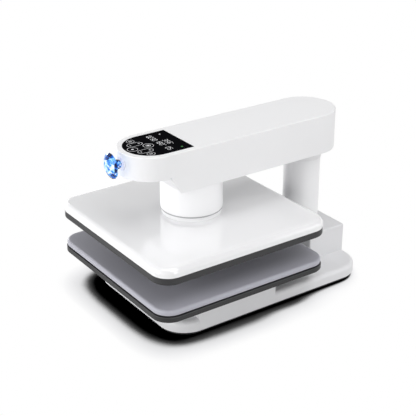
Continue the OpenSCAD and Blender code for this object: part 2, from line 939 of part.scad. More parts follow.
// Right-angle gearbox between the motor and the pinion
module motor_gearbox() {
    box_h = gear_z - 2.5 - frame_top;
    color("gray")
        difference() {
            union() {
                translate([-gearbox_half, pinion_y - gearbox_front, frame_top])
                    cube([2 * gearbox_half, gearbox_front + gearbox_rear - 8, box_h]);
                translate([-motor_r - 2.5, pinion_y + gearbox_rear - 14, frame_top])
                    cube([2 * motor_r + 5, 14, 2 * motor_r + 1]);
            }
            translate([0, pinion_y, frame_top + 4]) cylinder(60, r = shaft_r + fit);
        }
}

// Ball bearing of the lift screw: two rings and the balls
module screw_bearing() {
    ball_circle = (journal_r + bearing_r) / 2;
    color("silver")
        translate([0, head_y, 0]) {
            tube(bearing_r, bearing_r - 2.4, bearing_z, bearing_h);
            tube(journal_r + 2.4, journal_r + fit, bearing_z, bearing_h);
            translate([0, 0, bearing_z + bearing_h / 2]) around(9, ball_circle) sphere(1.55);
        }
}

// Linear bushes that guide the rods
module guide_bushes() {
    color("darkgoldenrod")
        translate([0, head_y, 0])
            around(4, rod_circle, 45) tube(bush_r, rod_r + fit, bush_z, bush_h);
}

// Involute of a gear's base circle, in degrees, at a pressure angle
function involute(angle) = tan(angle) * 180 / PI - angle;

// Half of a tooth's angle at radius r
function tooth_half(r, teeth, pitch_r) =
    let (base_r = pitch_r * cos(20), slack = 0.08 / pitch_r * 180 / PI)
    90 / teeth - slack + involute(20) - (r > base_r ? involute(acos(base_r / r)) : 0);

// Outline of a spur gear with one tooth on the X axis
function gear_outline(teeth) =
    let (pitch_r = gear_module * teeth / 2,
         root_r = pitch_r - 1.25 * gear_module,
         tip_r = pitch_r + gear_tip * gear_module,
         foot_r = max(root_r + 0.2, pitch_r * cos(20)),
         radii = [root_r, foot_r, pitch_r, (pitch_r + tip_r) / 2, tip_r],
         last = len(radii) - 1)
    [for (tooth = [0:teeth - 1], side = [-1, 1], k = [0:last])
        let (r = side < 0 ? radii[k] : radii[last - k],
             angle = 360 * tooth / teeth + side * tooth_half(max(r, foot_r), teeth, pitch_r))
        [r * cos(angle), r * sin(angle)]];

// Small gear on the gearbox's output shaft
module drive_pinion() {
    color("goldenrod")
        translate([0, pinion_y, 0]) {
            translate([0, 0, gear_z]) linear_extrude(gear_h) polygon(gear_outline(pinion_teeth));
            translate([0, 0, frame_top + 5]) cylinder(gear_z + gear_h + 2 - frame_top - 5, r = shaft_r);
        }
}

// Lift screw with its bearing journal
module lead_screw() {
    color("silver")
        translate([0, head_y, 0]) {
            translate([0, 0, screw_z]) cylinder(bearing_z - screw_z, r = screw_r);
            translate([0, 0, bearing_z]) cylinder(gear_z + gear_h + 8 - bearing_z, r = journal_r);
        }
}

// Large gear fixed to the lift screw
module screw_gear() {
    boss_r = journal_r + 5;
    root_r = gear_module * (gear_teeth / 2 - 1.25);
    color("ivory")
        translate([0, head_y, gear_z])
            difference() {
                union() {
                    rotate([0, 0, 180 / gear_teeth])
                        linear_extrude(gear_h) polygon(gear_outline(gear_teeth));
                    cylinder(gear_h + 5, r = boss_r);
                }
                translate([0, 0, -cut]) cylinder(30, r = journal_r);
                around(6, (boss_r + root_r) / 2)
                    translate([0, 0, -cut]) cylinder(gear_h + 2 * cut, r = (root_r - boss_r) / 2 - 3.6);
            }
}

// Bronze nut that the lift screw drives
module drive_nut() {
    color("darkgoldenrod")
        translate([0, head_y, 0])
            difference() {
                union() {
                    translate([0, 0, nut_z]) cylinder(nut_h, r = nut_r);
                    translate([0, 0, tower_top]) cylinder(5, r = tower_r - 1);
                }
                translate([0, 0, nut_z - cut]) cylinder(nut_h + 2 * cut, r = screw_r + fit);
            }
}

// Tower on the press plate that carries the nut
module nut_tower() {
    color("slategray")
        translate([0, head_y, 0])
            difference() {
                union() {
                    translate([0, 0, press_top]) cylinder(tower_top - press_top, r = tower_r);
                    translate([0, 0, press_top]) cylinder(6, r = rod_circle - rod_r - 5);
                }
                translate([0, 0, press_top - cut]) cylinder(tower_top, r = tower_bore);
            }
}

// Four guide rods fixed in the press plate
module guide_rods() {
    color("silver")
        translate([0, head_y, press_top])
            around(4, rod_circle, 45) cylinder(rod_top - press_top, r = rod_r);
}

// White inner collar that slides in the sleeve
module platen_collar() {
    color("white")
        translate([0, head_y, cover_top])
            difference() {
                cylinder(collar_top - cover_top, r = collar_r);
                translate([0, 0, 3]) cylinder(collar_top, r = collar_r - collar_wall);
                translate([0, 0, -cut]) cylinder(5, r = rod_circle + rod_r + 2);
            }
}

// Glossy white cover of the upper platen
module upper_cover() {
    inner = platen_size - 2 * cover_wall;
    color("white")
        translate([0, head_y, cover_z])
            difference() {
                soft_slab(platen_size, platen_size, platen_corner, cover_h, cover_edge, 0.8);
                translate([0, 0, -cut])
                    soft_slab(inner, inner, platen_corner - cover_wall,
                        cover_h - cover_wall + cut, cover_edge - cover_wall, 0);
                cylinder(cover_h + cut, r = rod_circle + rod_r + 2);
            }
}

// Steel plate that takes the pressing force
module press_plate() {
    color("slategray")
        translate([0, head_y, press_z])
            difference() {
                linear_extrude(press_h)
                    rounded_rect(2 * plate_bolt_x + 30, 2 * plate_bolt_y + 30, 20);
                translate([0, 0, -cut]) cylinder(press_h + 2 * cut, r = screw_r + 3);
                at_corners(plate_bolt_x, plate_bolt_y) {
                    translate([0, 0, -cut]) cylinder(press_h + 2 * cut, r = plate_bolt_r + 0.2);
                    translate([0, 0, plate_bolt_ledge]) cylinder(press_h, r = plate_bolt_head_r + 0.5);
                }
            }
}

// Heat-proof board over the heating element
module insulation_board() {
    color("moccasin")
        translate([0, head_y, insulation_z])
            difference() {
                linear_extrude(press_z - insulation_z)
                    rounded_rect(plate_size - 20, plate_size - 20, 20);
                translate([0, 0, -cut]) {
                    at_corners(plate_bolt_x, plate_bolt_y) cylinder(30, r = plate_bolt_r + 1);
                    for (x = [-1, 1])
                        translate([x * element_end_x, element_half - 4, 0]) cylinder(30, r = 4);
                }
            }
}

// Centre line of the heating element, as a tube of radius r
module element_run(r) {
    for (i = [0:element_runs - 1])
        translate([i * element_pitch - element_end_x, 0, 0])
            rotate([90, 0, 0]) cylinder(2 * element_half, r = r, center = true);
    for (i = [0:element_runs - 2]) {
        end = i % 2 == 0 ? -1 : 1;
        translate([(i + 0.5) * element_pitch - element_end_x, end * element_half, 0])
            rotate([0, 0, end < 0 ? 180 : 0])
                rotate_extrude(angle = 180) translate([element_pitch / 2, 0]) circle(r);
    }
}

// Cast heating plate with the element's channel in its top
module heater_plate() {
    color("darkgray")
        translate([0, head_y, 0])
            difference() {
                translate([0, 0, plate_face])
                    soft_slab(plate_size, plate_size, platen_corner - 8, plate_h, 0, 1.5);
                translate([0, 0, plate_top]) element_run(element_r + 0.2);
                translate([0, 0, plate_face + 5])
                    at_corners(plate_bolt_x, plate_bolt_y) cylinder(20, r = plate_bolt_r);
                translate([0, plate_size / 2 + cut, plate_face + 5])
                    rotate([90, 0, 0]) cylinder(61, r = 2.6);
            }
}

// Bolts that hold the heating plate up to the press plate
module plate_bolts() {
    head_z = press_z + plate_bolt_ledge;
    color("gray")
        translate([0, head_y, 0])
            at_corners(plate_bolt_x, plate_bolt_y) {
                translate([0, 0, plate_face + 6]) cylinder(head_z - plate_face - 6, r = plate_bolt_r);
                translate([0, 0, head_z]) cylinder(press_top - slip - head_z, r = plate_bolt_head_r);
            }
}

// Tubular heating element with its two upright terminals
module heating_element() {
    color("sienna")
        translate([0, head_y, plate_top]) {
            element_run(element_r);
            for (x = [-1, 1])
                translate([x * element_end_x, element_half - 4, 0]) cylinder(11, r = 2.5);
        }
}

// Dark band round the heating plate
module seal_band() {
    inner = plate_size + 1.2;
    color("#4a4a4c")
        translate([0, head_y, band_z])
            difference() {
                soft_slab(platen_size, platen_size, platen_corner, band_h, 0.4, 2.2);
                translate([0, 0, -cut])
                    linear_extrude(band_h + 2 * cut)
                        rounded_rect(inner, inner, platen_corner - 7.4);
            }
}

// Temperature probe in the plate's rear edge
module heat_sensor() {
    color("silver")
        translate([0, head_y + plate_size / 2, plate_face + 5])
            rotate([90, 0, 0]) cylinder(58, r = 2.5);
}

base_cover();
base_plate();
bottom_pan();
foot_pads();
pedestal_frame();
lower_tray();
pad_backing();
silicone_pad();
tray_screws();
rear_housing();
rear_panel();
power_inlet();
inlet_pins();
switch_bezel();
power_rocker();
fuse_holder();
power_board();
power_supply();
heater_relay();
column_tube();
column_post();
post_bolts();
thrust_bearing();
stop_collar();
pivot_nut();
arm_shell();
arm_belly();
belly_screws();
arm_frame();
pivot_hub();
pivot_bushes();
stop_pin();
panel_glass();
display_board();
digit_displays();
status_led();
knob_rosette();
knob_stud();
crystal_knob();
head_sleeve();
wiper_ring();
drive_motor();
motor_gearbox();
screw_bearing();
guide_bushes();
drive_pinion();
lead_screw();
screw_gear();
drive_nut();
nut_tower();
guide_rods();
platen_collar();
upper_cover();
press_plate();
insulation_board();
heater_plate();
plate_bolts();
heating_element();
seal_band();
heat_sensor();
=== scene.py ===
import math

import bmesh
import bpy
from mathutils import Matrix, Vector


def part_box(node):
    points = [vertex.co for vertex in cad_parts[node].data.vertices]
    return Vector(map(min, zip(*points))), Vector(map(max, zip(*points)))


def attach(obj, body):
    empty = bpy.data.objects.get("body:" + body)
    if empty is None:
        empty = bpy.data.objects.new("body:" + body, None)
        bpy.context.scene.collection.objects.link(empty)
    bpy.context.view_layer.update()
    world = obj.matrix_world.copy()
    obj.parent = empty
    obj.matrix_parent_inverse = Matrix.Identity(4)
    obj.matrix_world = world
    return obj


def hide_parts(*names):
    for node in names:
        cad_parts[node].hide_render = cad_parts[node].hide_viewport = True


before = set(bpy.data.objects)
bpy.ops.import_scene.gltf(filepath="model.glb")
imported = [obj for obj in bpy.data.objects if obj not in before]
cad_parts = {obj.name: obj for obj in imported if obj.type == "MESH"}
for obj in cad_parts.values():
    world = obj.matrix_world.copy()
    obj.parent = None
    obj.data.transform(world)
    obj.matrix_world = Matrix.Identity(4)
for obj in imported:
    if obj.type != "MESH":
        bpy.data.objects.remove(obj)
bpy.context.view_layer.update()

MM = 0.001


# Rubber feet
# Four moulded rubber feet, pressed into the pan's corners. Each is turned from one outline, with a
# soft rim, a grip ring on its face and a hollow for its screw.
class Wire:
    """A socket in a node tree. Arithmetic on it adds the Math nodes of the expression."""

    def __init__(self, recipe, socket):
        self.recipe = recipe
        self.socket = socket

    def math(self, operation, first, second):
        return self.recipe.node("ShaderNodeMath", {"operation": operation}, {0: first, 1: second})

    def __add__(self, other):
        return self.math("ADD", self, other)

    def __radd__(self, other):
        return self.math("ADD", other, self)

    def __sub__(self, other):
        return self.math("SUBTRACT", self, other)

    def __rsub__(self, other):
        return self.math("SUBTRACT", other, self)

    def __mul__(self, other):
        return self.math("MULTIPLY", self, other)

    def __rmul__(self, other):
        return self.math("MULTIPLY", other, self)

    def __truediv__(self, other):
        return self.math("DIVIDE", self, other)

    def __rtruediv__(self, other):
        return self.math("DIVIDE", other, self)

    def __pow__(self, other):
        return self.math("POWER", self, other)

    def __rpow__(self, other):
        return self.math("POWER", other, self)

    def __or__(self, other):
        """The larger of the two."""
        return self.math("MAXIMUM", self, other)

    def __ror__(self, other):
        return self.math("MAXIMUM", other, self)

    def __gt__(self, other):
        return self.math("GREATER_THAN", self, other)

    def __lt__(self, other):
        return self.math("LESS_THAN", self, other)


class Recipe:
    """A node tree that is put together from expressions."""

    def __init__(self, tree):
        self.tree = tree

    def node(self, kind, settings=None, values=None, out=0):
        """Adds a node: its settings first, then the values or links of its sockets."""
        made = self.tree.nodes.new(kind)
        for key, value in (settings or {}).items():
            if key == "stops":
                ramp = made.color_ramp
                while len(ramp.elements) < len(value):
                    ramp.elements.new(1)
                for element, (position, colour) in zip(ramp.elements, value):
                    element.position = position
                    element.color = (*colour, 1)
            else:
                setattr(made, key, value)
        for key, value in (values or {}).items():
            self.feed(made.inputs[key], value)
        return Wire(self, made.outputs[out])

    def feed(self, socket, value):
        """Links a socket, or sets its constant."""
        if isinstance(value, Wire):
            self.tree.links.new(value.socket, socket)
        elif isinstance(value, tuple) and len(value) == 3 and socket.type == "RGBA":
            socket.default_value = (*value, 1)
        else:
            socket.default_value = value

    def ramp(self, share, *stops):
        """A colour by a share, from stops of a position and a colour."""
        return self.node("ShaderNodeValToRGB", {"stops": stops}, {0: share})


class Finish(Recipe):
    """The node material of one surface, which reads the place on the piece in its own coordinates."""

    def __init__(self, name):
        self.material = bpy.data.materials.new(name)
        self.material.use_nodes = True
        super().__init__(self.material.node_tree)
        self.shader = self.tree.nodes["Principled BSDF"]
        self.place = self.node("ShaderNodeTexCoord", out="Object")

    def height(self):
        """How high the place on the piece lies, in metres."""
        return self.node("ShaderNodeSeparateXYZ", None, {0: self.place}, "Z")

    def noise(self, scale, detail=2, stretch=(1, 1, 1)):
        """Soft noise from 0 to 1, with this many patches to the metre."""
        place = self.node("ShaderNodeVectorMath", {"operation": "MULTIPLY"}, {0: self.place, 1: stretch})
        return self.node("ShaderNodeTexNoise", None, {"Vector": place, "Scale": scale, "Detail": detail})

    def between(self, low, high, share):
        """A colour from low to high by a share."""
        return self.node("ShaderNodeMix", {"data_type": "RGBA"}, {0: share, 6: low, 7: high}, 2)

    def bumped(self, height, depth_mm, strength=1.0):
        """A surface normal for a relief this deep."""
        return self.node("ShaderNodeBump", None, {"Height": height, "Distance": depth_mm * MM,
                                                  "Strength": strength})

    def paint(self, **sockets):
        """Sets the shader's sockets. A socket's name has its spaces written as underscores."""
        for key, value in sockets.items():
            self.feed(self.shader.inputs[key.replace("_", " ")], value)
        return self


def tint(colour, times, plus=0.0):
    """A paler or darker form of a colour."""
    return tuple(c * times + plus for c in colour)


def moulded_rubber(name, colour):
    finish = Finish(name)
    dust = finish.noise(40, 4)
    pores = finish.noise(1600, 3)
    return finish.paint(Base_Color=finish.between(colour, tint(colour, 1.7, 0.01), dust ** 2),
                        Roughness=0.7 + 0.2 * dust,
                        Normal=finish.bumped(pores, 0.06, 0.5))


weld = 0.002 * MM


def finished(bm, name, body, finish, stands_for=(), crease=32):
    """Makes a piece of a bmesh: closed, facing outwards, and smooth but for its real edges."""
    bmesh.ops.remove_doubles(bm, verts=bm.verts, dist=weld)
    bmesh.ops.recalc_face_normals(bm, faces=bm.faces)
    for face in bm.faces:
        face.smooth = True
    for edge in bm.edges:
        edge.smooth = len(edge.link_faces) == 2 and edge.calc_face_angle() < math.radians(crease)
    mesh = bpy.data.meshes.new(name)
    bm.to_mesh(mesh)
    bm.free()
    mesh.materials.append(finish.material)
    piece = bpy.data.objects.new(name, mesh)
    bpy.context.scene.collection.objects.link(piece)
    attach(piece, body)
    if stands_for:
        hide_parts(*stands_for)
    return piece


def turned(bm, outline, steps=64):
    """Adds an outline of (radius, height) in millimetres, spun round the upright axis."""
    points = [bm.verts.new((r * MM, 0, z * MM)) for r, z in outline]
    lines = [bm.edges.new(pair) for pair in zip(points, points[1:])]
    bmesh.ops.spin(bm, geom=points + lines, cent=(0, 0, 0), axis=(0, 0, 1),
                   angle=math.tau, steps=steps, use_merge=True)
    bmesh.ops.remove_doubles(bm, verts=bm.verts, dist=weld)


def copies(bm, places):
    """Puts a copy of all that the bmesh holds at each place, in millimetres."""
    first = bm.verts[:] + bm.edges[:] + bm.faces[:]
    bmesh.ops.translate(bm, vec=Vector(places[0]) * MM, verts=bm.verts[:])
    for place in places[1:]:
        more = bmesh.ops.duplicate(bm, geom=first)["geom"]
        bmesh.ops.translate(bm, vec=(Vector(place) - Vector(places[0])) * MM,
                            verts=[v for v in more if isinstance(v, bmesh.types.BMVert)])


foot_r = 15
foot_outline = [(0, 1.6), (3.2, 1.6), (3.6, 1.2), (3.6, 0.3), (3.9, 0), (8, 0), (8.3, 0.5), (9.4, 0.5),
                (9.7, 0), (13.6, 0), (14.4, 0.25), (14.9, 0.9), (foot_r, 1.6), (foot_r, 3.6),
                (14.6, 4), (0, 4)]
foot_low, foot_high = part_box("foot_pads")
foot_x = foot_high.x / MM - foot_r
foot_ys = foot_low.y / MM + foot_r, foot_high.y / MM - foot_r
feet = bmesh.new()
turned(feet, foot_outline)
copies(feet, [(x, y, 0) for x in (-foot_x, foot_x) for y in foot_ys])
foot_rubber = moulded_rubber("foot rubber", (0.022, 0.022, 0.024))
finished(feet, "rubber_feet", "base", foot_rubber, ["foot_pads"])


# Pan and rear panel
# A pressed steel pan closes the base from below, with rows of air slots, and a steel panel closes the
# housing at the back. Their black powder coat is fine and slightly rough. On the pan, the near-black coat
# also paints the shade in the gap under the base.
def powder_coat(name, colour, rough):
    finish = Finish(name)
    grit = finish.noise(2200, 2)
    patch = finish.noise(14, 3)
    return finish.paint(Base_Color=finish.between(colour, tint(colour, 1.35, 0.004), patch),
                        Roughness=rough + 0.12 * grit,
                        Normal=finish.bumped(grit, 0.05, 0.6))


def cad(finish, *nodes):
    """Nodes whose shapes are right stay, and take this finish."""
    for node in nodes:
        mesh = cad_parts[node].data
        mesh.materials.clear()
        mesh.materials.append(finish.material)


# The near-black coat on the pan also stands in for the shade in the gap under the base.
cad(powder_coat("pan coat", (0.012, 0.012, 0.013), 0.5), "bottom_pan", "rear_panel")


# Base cover and rear housing
# Both are moulded from white plastic with a fine satin grain. The cover carries the pedestal, and the
# housing stands over the column's foot and the mains parts.
def moulded_white(name, colour, rough):
    finish = Finish(name)
    cloud = finish.noise(5, 2)
    grain = finish.noise(2600, 2)
    return finish.paint(Base_Color=finish.between(tint(colour, 0.97), colour, cloud),
                        Roughness=rough + 0.05 * (cloud - 0.5) + 0.05 * (grain - 0.5),
                        Normal=finish.bumped(grain, 0.02, 0.35))


cad(moulded_white("base white", (0.76, 0.76, 0.775), 0.36), "base_cover", "rear_housing")


# Bed plate
# A plate of dark coated aluminium, screwed to the pedestal's frame. A painted highlight runs along its top
# edge: the coat is painted paler there, where the rounded edge would catch the light from above.
def coated_metal(name, colour, rough, painted_highlight_above=None):
    finish = Finish(name)
    grit = finish.noise(1500, 3)
    cloud = finish.noise(9, 2)
    coat = finish.between(colour, tint(colour, 1.12), cloud)
    # The painted highlight: a paler coat along the top edge, above this height.
    if painted_highlight_above:
        coat = finish.between(coat, (0.05, 0.05, 0.052), finish.height() > painted_highlight_above)
    return finish.paint(Base_Color=coat, Metallic=0.25, Roughness=rough + 0.1 * (grit - 0.5),
                        Normal=finish.bumped(grit, 0.03, 0.4))


# How far down from the bed plate's top the painted highlight band reaches.
highlight_band_height = 0.9 * MM
bed_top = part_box("lower_tray")[1].z
cad(coated_metal("bed plate coat", (0.019, 0.019, 0.02), 0.5, bed_top - highlight_band_height), "lower_tray")


# Backing sheet
# A black rubber sheet glued between the bed plate and the pad. It stands back from their edges, and
# shows there as a dark line. Its near-black colour also paints the shade in the gap under the pad's lip.
# Near-black sheet: black rubber, and also painted shade for the gap under the pad's lip.
cad(moulded_rubber("backing sheet and gap shade", (0.006, 0.006, 0.007)), "pad_backing")


# Silicone pad
# A slab of soft closed-cell silicone, cut square with round corners. Its top edge is rounded over, its
# face is very slightly crowned, and its skin has fine pores.
def rounded_plate(size, corner, low, high, centre, top, bottom, steps, soft):
    """A bmesh of a plate with round corners and rounded edges, and its top face, in millimetres."""
    bm = bmesh.new()
    square = bmesh.ops.create_grid(bm, x_segments=1, y_segments=1, size=0.5)["verts"]
    bmesh.ops.scale(bm, vec=(size[0] * MM, size[1] * MM, 1), verts=square)
    bmesh.ops.translate(bm, vec=(centre[0] * MM, centre[1] * MM, low * MM), verts=square)
    bmesh.ops.bevel(bm, geom=square, offset=corner * MM, offset_type="OFFSET",
                    affect="VERTICES", segments=steps, profile=0.5, material=-1)
    raised = bmesh.ops.extrude_face_region(bm, geom=bm.faces[:])["geom"]
    bmesh.ops.translate(bm, vec=(0, 0, (high - low) * MM),
                        verts=[v for v in raised if isinstance(v, bmesh.types.BMVert)])
    for edge, radius in ((high, top), (low, bottom)):
        rim = [e for e in bm.edges if all(abs(v.co.z - edge * MM) < weld for v in e.verts)]
        bmesh.ops.bevel(bm, geom=rim, offset=radius * MM, offset_type="OFFSET",
                        affect="EDGES", segments=soft, profile=0.5, material=-1)
    return bm, max(bm.faces, key=lambda f: f.calc_center_median().z)


pad_low, pad_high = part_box("silicone_pad")
pad_size = [(pad_high[i] - pad_low[i]) / MM for i in (0, 1)]
pad_middle = [(pad_high[i] + pad_low[i]) / 2 / MM for i in (0, 1)]
pad_corner = 35.5
crown_steps = (4, 0.14), (8, 0.1), (14, 0.08)
crown = sum(rise for width, rise in crown_steps)
pad, face = rounded_plate(pad_size, pad_corner, pad_low.z / MM, pad_high.z / MM - crown, pad_middle,
                          top=5.2, bottom=0.9, steps=20, soft=10)
for width, rise in crown_steps:
    bmesh.ops.inset_region(pad, faces=[face], thickness=width * MM, depth=0, use_even_offset=True)
    bmesh.ops.translate(pad, vec=(0, 0, rise * MM), verts=list(face.verts))
silicone = Finish("silicone")
pores = silicone.noise(1100, 3)
weave = silicone.noise(230, 4)
cloud = silicone.noise(4.5, 3)
silicone.paint(Base_Color=silicone.between((0.40, 0.40, 0.45), (0.43, 0.43, 0.485), cloud),
               Roughness=0.44 + 0.12 * cloud + 0.06 * (pores - 0.5),
               Normal=silicone.bumped(pores * 0.6 + weave * 0.4, 0.05, 0.45),
               Coat_Weight=0.08, Coat_Roughness=0.3)
pad_piece = finished(pad, "soft_pad", "base", silicone, ["silicone_pad"])


# Mains parts
# The appliance inlet, fuse holder and switch frame are black moulded plastic with a faint gloss, pushed
# into the rear panel, and the relay's case inside is like them. The rocker in its frame is glossy red.
def black_plastic(name, colour=(0.013, 0.013, 0.014), rough=0.38):
    finish = Finish(name)
    grain = finish.noise(2000, 2)
    cloud = finish.noise(30, 2)
    return finish.paint(Base_Color=finish.between(colour, tint(colour, 1.5, 0.003), cloud),
                        Roughness=rough + 0.08 * grain,
                        Normal=finish.bumped(grain, 0.02, 0.4))


cad(black_plastic("mains black"), "power_inlet", "switch_bezel", "fuse_holder", "heater_relay")
cad(black_plastic("rocker red", (0.42, 0.012, 0.01), 0.18), "power_rocker")


# Column, head sleeve and collar
# Three steel tubes painted satin white, with a faint flow in the paint. The column stands round the post,
# the sleeve hangs from the arm, and the collar slides in it with the upper platen.
def satin_paint(name, colour, rough):
    finish = Finish(name)
    flow = finish.noise(160, 2)
    cloud = finish.noise(7, 2)
    return finish.paint(Base_Color=finish.between(tint(colour, 0.975), colour, cloud),
                        Roughness=rough + 0.05 * (cloud - 0.5),
                        Normal=finish.bumped(flow, 0.02, 0.25), Coat_Weight=0.2, Coat_Roughness=0.12)


cad(satin_paint("column paint", (0.90, 0.90, 0.91), 0.3), "column_tube", "head_sleeve", "platen_collar")


# Wiper ring
# A grey felt ring, pressed into the sleeve's mouth, which wipes the collar as it slides. It shows as the
# thin seam between the two.
cad(moulded_rubber("wiper felt", (0.36, 0.36, 0.37)), "wiper_ring")


# Arm
# Two white mouldings with a satin grain: the shell with its raised nose, and the belly that is screwed in
# from below.
cad(moulded_white("arm white", (0.83, 0.83, 0.84), 0.34), "arm_shell", "arm_belly")


# Control panel
# Black glass lies in the shell's pocket. The touch field is printed on it: ring keys, two long keys for
# more and less, the digits of the time and heat, and the green ready light on its light pipe.
glass = Finish("panel glass")
haze = glass.noise(60, 3)
glass.paint(Base_Color=glass.between((0.003, 0.003, 0.004), (0.005, 0.005, 0.006), haze),
            Roughness=0.22 + 0.08 * haze, Specular_IOR_Level=0.0)
cad(glass, "panel_glass")


def glow(name, colour, strength):
    """Ink or light behind the glass, even but for a faint unevenness."""
    finish = Finish(name)
    patch = finish.noise(400, 2)
    lit = finish.between(tint(colour, 0.8), colour, patch)
    return finish.paint(Base_Color=lit, Emission_Color=lit, Emission_Strength=strength, Roughness=0.3)


def loop(bm, x, y, radius, steps, stretch=0.0):
    """Adds a printed circle, or one drawn out along y, and gives its edges."""
    rim = bmesh.ops.create_circle(bm, segments=steps, radius=radius * MM)["verts"]
    for vert in rim:
        vert.co.y += math.copysign(stretch / 2 * MM, vert.co.y)
    bmesh.ops.translate(bm, vec=(x * MM, y * MM, 0), verts=rim)
    return {edge for vert in rim for edge in vert.link_edges}


def flat_ring(bm, x, y, outer, inner, steps=40):
    """Adds a printed ring."""
    bmesh.ops.bridge_loops(bm, edges=list(loop(bm, x, y, outer, steps) | loop(bm, x, y, inner, steps)))


def pill(bm, x, y, wide, tall, line):
    """Adds the outline of a long key with round ends."""
    outer = loop(bm, x, y, wide / 2, 36, tall - wide)
    inner = loop(bm, x, y, wide / 2 - line, 36, tall - wide)
    bmesh.ops.bridge_loops(bm, edges=list(outer | inner))


def disc(bm, x, y, radius):
    """Adds a printed dot."""
    made = bmesh.ops.create_circle(bm, segments=20, radius=radius * MM, cap_ends=True)["verts"]
    bmesh.ops.translate(bm, vec=(x * MM, y * MM, 0), verts=made)


def bar(bm, x, y, length, width, turn=0.0):
    """Adds a printed bar with pointed ends."""
    made = bmesh.ops.create_circle(bm, segments=6, radius=0.5, cap_ends=True)["verts"]
    for vert in made:
        side = 1 if vert.co.x > 0 else -1
        tip = abs(vert.co.y) < 0.1
        vert.co = (side * (length if tip else length - width) / 2 * MM,
                   0 if tip else math.copysign(width / 2 * MM, vert.co.y), 0)
    bmesh.ops.rotate(bm, matrix=Matrix.Rotation(math.radians(turn), 3, "Z"), verts=made)
    bmesh.ops.translate(bm, vec=(x * MM, y * MM, 0), verts=made)


# Which of the seven bars each digit lights: top, middle, bottom, then the left and right pairs, with a
# capital for the upper bar of a pair
DIGIT_BARS = {"0": "tbLlRr", "1": "Rr", "2": "tmbRl", "3": "tmbRr", "5": "tmbLr", "6": "tmbLlr",
              "8": "tmbLlRr"}


def digits(bm, text, x, y, pitch, tall=10.5):
    """Adds seven-bar digits, centred on a place."""
    wide = tall * 0.5
    line = tall * 0.13
    half = tall / 2
    places = {"t": (0, half, 0), "m": (0, 0, 0), "b": (0, -half, 0), "L": (-wide / 2, half / 2, 90),
              "l": (-wide / 2, -half / 2, 90), "R": (wide / 2, half / 2, 90),
              "r": (wide / 2, -half / 2, 90)}
    for i, digit in enumerate(text):
        middle = x + (i - (len(text) - 1) / 2) * pitch
        for name in DIGIT_BARS[digit]:
            dx, dy, turn = places[name]
            bar(bm, middle + dx, y + dy, (half if turn else wide) * 0.94, line, turn)


middle_x, start_y, stop_y = -0.8, -177.0, -212.5
side_key_x, side_key_y = 38, -195
long_key_x, long_key_y = 20, -196
plus_y, minus_y = -186.5, -205.5
heat_row_y, time_row_y = -134.7, -151.3
mark_x, light_x, light_y = -39.4, 40.5, -126.3
ink_lift, ink_thick, light_lift = 0.03, 0.02, 0.06
glass_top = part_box("panel_glass")[1].z / MM
symbols = bmesh.new()
for y in (start_y, stop_y):
    flat_ring(symbols, middle_x, y, 10.6, 9.8)
    disc(symbols, middle_x, y, 2.6)
flat_ring(symbols, middle_x, start_y, 4.9, 4.1)
for x in (-side_key_x, side_key_x):
    flat_ring(symbols, x, side_key_y, 8.2, 7.4)
    for step in (-2.4, 0, 2.4):
        bar(symbols, x, side_key_y + step, 6.4, 1.0)
for x in (-long_key_x, long_key_x):
    pill(symbols, x, long_key_y, 17, 33, 0.8)
    bar(symbols, x, plus_y, 6, 1.2)
    bar(symbols, x, plus_y, 6, 1.2, 90)
    bar(symbols, x, minus_y, 6, 1.2)
digits(symbols, "356", 2, heat_row_y, 8.6)
digits(symbols, "180", 0, time_row_y, 8.6)
digits(symbols, "0230", -29, time_row_y, 7.2)
digits(symbols, "05", 33.5, time_row_y, 8.0)
disc(symbols, 16.5, -130.6, 1.0)
flat_ring(symbols, 15.5, -147.2, 1.3, 0.8, 20)
disc(symbols, mark_x, light_y, 1.8)
bmesh.ops.translate(symbols, vec=(0, 0, (glass_top + ink_lift) * MM), verts=symbols.verts)
bmesh.ops.solidify(symbols, geom=symbols.faces[:], thickness=ink_thick * MM)
ink = glow("panel ink", (0.62, 0.62, 0.64), 0.35)
finished(symbols, "panel_print", "arm", ink)
cad(ink, "digit_displays")

ready = bmesh.new()
turned(ready, [(0, 0.25), (1.4, 0.2), (2.2, 0.05), (2.4, -0.05), (0, -0.05)], 32)
bmesh.ops.translate(ready, vec=(light_x * MM, light_y * MM, (glass_top + light_lift) * MM),
                    verts=ready.verts)
finished(ready, "ready_light", "arm", glow("ready green", (0.0, 0.17, 0.008), 0.35))
cad(glow("light pipe", (0.0, 0.30, 0.03), 0.2), "status_led")


# Knob plate
# A small round plate of pale plastic with a soft gloss. The knob's stud holds it against the
# nose. Its lavender tint is painted shade: it stands in for the blue-tinted shade the crystal throws on it.
plate_with_painted_tint = Finish("knob plate")
tint_cloud = plate_with_painted_tint.noise(30, 2)
# The lavender in these colours is painted shade of the blue crystal. The plate itself is pale.
plate_with_painted_tint.paint(Base_Color=plate_with_painted_tint.between((0.80, 0.80, 0.90), (0.85, 0.85, 0.94), tint_cloud),
                 Roughness=0.2 + 0.06 * tint_cloud, Coat_Weight=0.4, Coat_Roughness=0.08)
cad(plate_with_painted_tint, "knob_rosette")


# Knob
# A round brilliant of blue crystal on a cut ball, screwed on a stud in the nose. Its colours are a painted
# reflection of the room: every flat face is painted its own shade from navy to white, and Voronoi cells
# paint glints over them as if from the faces behind.
crystal = Finish("blue crystal")
